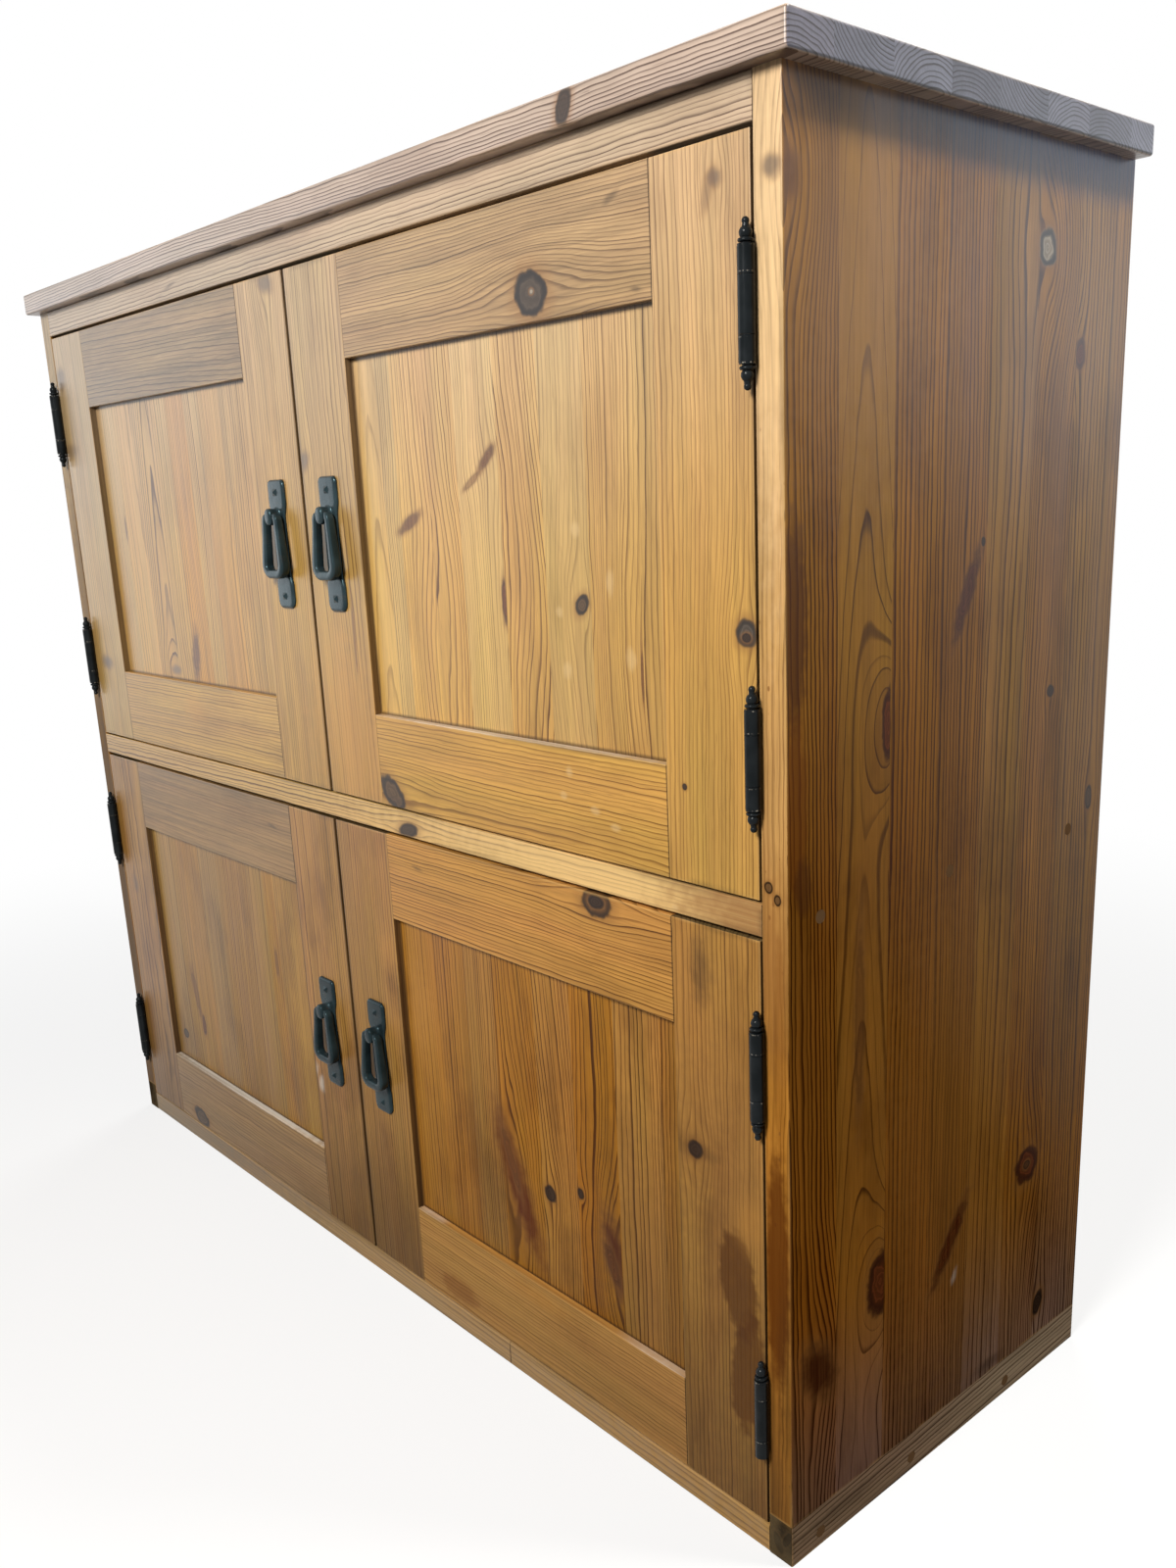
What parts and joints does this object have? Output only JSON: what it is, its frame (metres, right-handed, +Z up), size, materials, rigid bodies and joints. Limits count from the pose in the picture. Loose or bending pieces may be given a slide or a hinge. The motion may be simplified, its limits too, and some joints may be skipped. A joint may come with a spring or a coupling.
{
  "type": "cupboard",
  "caption": "Low, wide stained-pine cupboard with framed inset doors in two rows on finial barrel hinges, black iron bail pulls, shelves inside and an overhanging plank top.",
  "frame": {"origin": "on the floor, under the middle of the carcass's footprint", "axes": "+X to the right along the front, +Y from the front to the back, +Z up"},
  "size_m": [1.229, 0.4265, 1.067],
  "materials": {
    "pine": "satin antique pine stain, worn varnish",
    "pine_panel": "satin antique pine stain",
    "plywood": "plain, unvarnished",
    "beech": "plain turned dowel",
    "black_iron": "slate-black, semi-gloss, uneven forged face",
    "black_hinge": "black, satin, rubbed bright on the rings",
    "steel": "plain bright steel",
    "brown_plastic": "matt brown"
  },
  "bodies": {
    "carcass": {"back_panel": "plywood", "base_rails": "pine", "bottom_board": "pine", "hinge_finials": "black_hinge", "hinge_frame_leaves": "black_hinge", "hinge_frame_screws": "steel", "hinge_pins": "steel", "left_side": "pine", "loose_shelves": "pine", "magnetic_catches": "brown_plastic", "middle_shelf": "pine", "right_side": "pine", "shelf_pegs": "beech", "top_board": "pine", "top_rail": "pine", "wood_dowels": "beech"},
    "upper_left_door": {"upper_left_hinge_stile": "pine", "upper_left_meeting_stile": "pine", "upper_left_door_top_rail": "pine", "upper_left_door_bottom_rail": "pine", "upper_left_door_panel": "pine_panel", "upper_left_strike": "steel", "upper_left_hinge_leaves": "black_hinge", "upper_left_hinge_screws": "steel", "upper_left_handle_plate": "black_iron", "upper_left_handle_nails": "black_iron"},
    "upper_left_bail": {"upper_left_bail": "black_iron"},
    "upper_right_door": {"upper_right_hinge_stile": "pine", "upper_right_meeting_stile": "pine", "upper_right_door_top_rail": "pine", "upper_right_door_bottom_rail": "pine", "upper_right_door_panel": "pine_panel", "upper_right_strike": "steel", "upper_right_hinge_leaves": "black_hinge", "upper_right_hinge_screws": "steel", "upper_right_handle_plate": "black_iron", "upper_right_handle_nails": "black_iron"},
    "upper_right_bail": {"upper_right_bail": "black_iron"},
    "lower_left_door": {"lower_left_hinge_stile": "pine", "lower_left_meeting_stile": "pine", "lower_left_door_top_rail": "pine", "lower_left_door_bottom_rail": "pine", "lower_left_door_panel": "pine_panel", "lower_left_strike": "steel", "lower_left_hinge_leaves": "black_hinge", "lower_left_hinge_screws": "steel", "lower_left_handle_plate": "black_iron", "lower_left_handle_nails": "black_iron"},
    "lower_left_bail": {"lower_left_bail": "black_iron"},
    "lower_right_door": {"lower_right_hinge_stile": "pine", "lower_right_meeting_stile": "pine", "lower_right_door_top_rail": "pine", "lower_right_door_bottom_rail": "pine", "lower_right_door_panel": "pine_panel", "lower_right_strike": "steel", "lower_right_hinge_leaves": "black_hinge", "lower_right_hinge_screws": "steel", "lower_right_handle_plate": "black_iron", "lower_right_handle_nails": "black_iron"},
    "lower_right_bail": {"lower_right_bail": "black_iron"}
  },
  "joints": [
    {"name": "upper_left_door_hinge", "type": "hinge", "parent": "carcass", "child": "upper_left_door", "pos_m": [-0.5755, -0.2118, 0.77425], "axis": [0, 0, -1], "range_deg": [0, 180]},
    {"name": "upper_left_bail_pivot", "type": "hinge", "parent": "upper_left_door", "child": "upper_left_bail", "pos_m": [-0.0486, -0.216, 0.79925], "axis": [-1, 0, 0], "range_deg": [0, 170]},
    {"name": "upper_right_door_hinge", "type": "hinge", "parent": "carcass", "child": "upper_right_door", "pos_m": [0.5755, -0.2118, 0.77425], "axis": [0, 0, 1], "range_deg": [0, 180]},
    {"name": "upper_right_bail_pivot", "type": "hinge", "parent": "upper_right_door", "child": "upper_right_bail", "pos_m": [0.0486, -0.216, 0.79925], "axis": [-1, 0, 0], "range_deg": [0, 170]},
    {"name": "lower_left_door_hinge", "type": "hinge", "parent": "carcass", "child": "lower_left_door", "pos_m": [-0.5755, -0.2118, 0.26575], "axis": [0, 0, -1], "range_deg": [0, 180]},
    {"name": "lower_left_bail_pivot", "type": "hinge", "parent": "lower_left_door", "child": "lower_left_bail", "pos_m": [-0.0486, -0.216, 0.29075], "axis": [-1, 0, 0], "range_deg": [0, 170]},
    {"name": "lower_right_door_hinge", "type": "hinge", "parent": "carcass", "child": "lower_right_door", "pos_m": [0.5755, -0.2118, 0.26575], "axis": [0, 0, 1], "range_deg": [0, 180]},
    {"name": "lower_right_bail_pivot", "type": "hinge", "parent": "lower_right_door", "child": "lower_right_bail", "pos_m": [0.0486, -0.216, 0.29075], "axis": [-1, 0, 0], "range_deg": [0, 170]}
  ]
}
